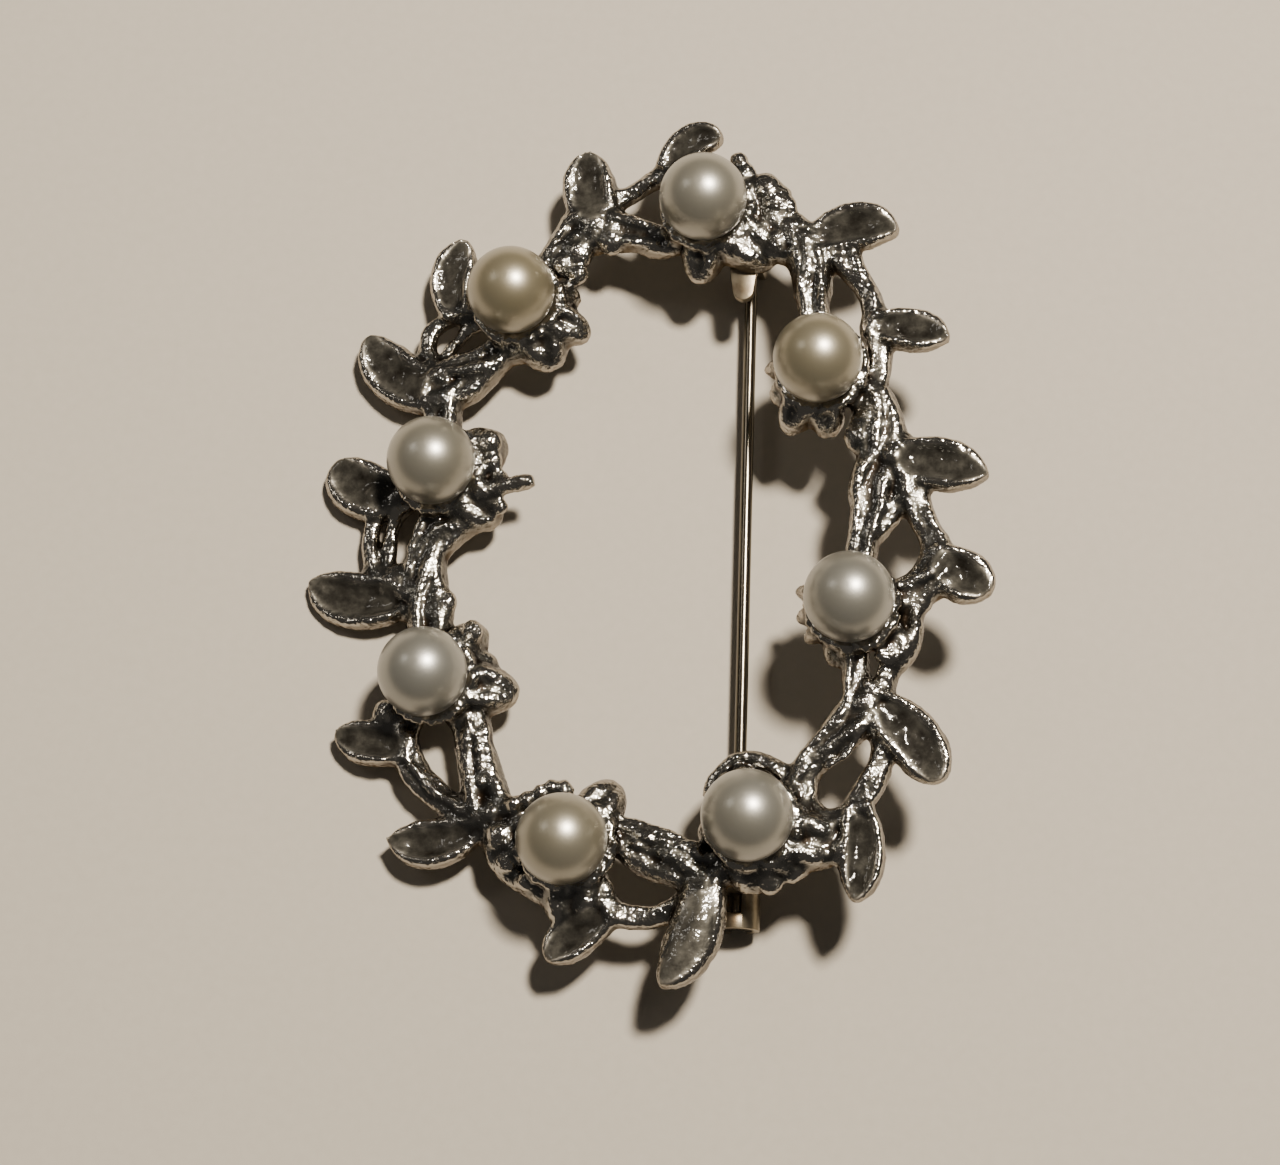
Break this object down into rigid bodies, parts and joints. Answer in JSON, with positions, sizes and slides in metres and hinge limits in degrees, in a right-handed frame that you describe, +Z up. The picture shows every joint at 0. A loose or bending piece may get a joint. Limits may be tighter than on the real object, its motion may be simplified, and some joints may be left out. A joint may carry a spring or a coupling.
{
  "type": "wreath brooch",
  "caption": "Open oval brooch of leafy twigs cast in silver-tone metal, set with round imitation pearls, with a hinged pin stem and a turning safety catch behind.",
  "frame": {"origin": "middle of the foot of the bounding box, on the table that the brooch lies on", "axes": "+Y along the oval's long axis towards the stem's hinge, +X across towards the stem's side, +Z up from the table towards the viewer"},
  "size_m": [0.0384, 0.0506, 0.0115],
  "materials": {
    "casting": "antiqued silver-tone plating on white metal, dark in the hollows and bright on the edges",
    "pearl": "cream nacre lacquer with a satin gloss",
    "steel": "bright nickel-plated wire"
  },
  "bodies": {
    "casting": {"wreath": "casting", "pearl_1": "pearl", "pearl_2": "pearl", "pearl_3": "pearl", "pearl_4": "pearl", "pearl_5": "pearl", "pearl_6": "pearl", "pearl_7": "pearl", "pearl_8": "pearl", "pin_rivet": "steel"},
    "stem": {"pin_stem": "steel"},
    "roller": {"catch_roller": "steel"}
  },
  "joints": [
    {"name": "stem_swing", "type": "hinge", "parent": "casting", "child": "stem", "pos_m": [0.00583, 0.01835, 0.00138], "axis": [0.9826, 0, 0.186], "range_deg": [0, 100]},
    {"name": "catch_roll", "type": "hinge", "parent": "casting", "child": "roller", "pos_m": [0.00583, -0.02, 0.00138], "axis": [0, 1, 0], "range_deg": [0, 95]}
  ]
}
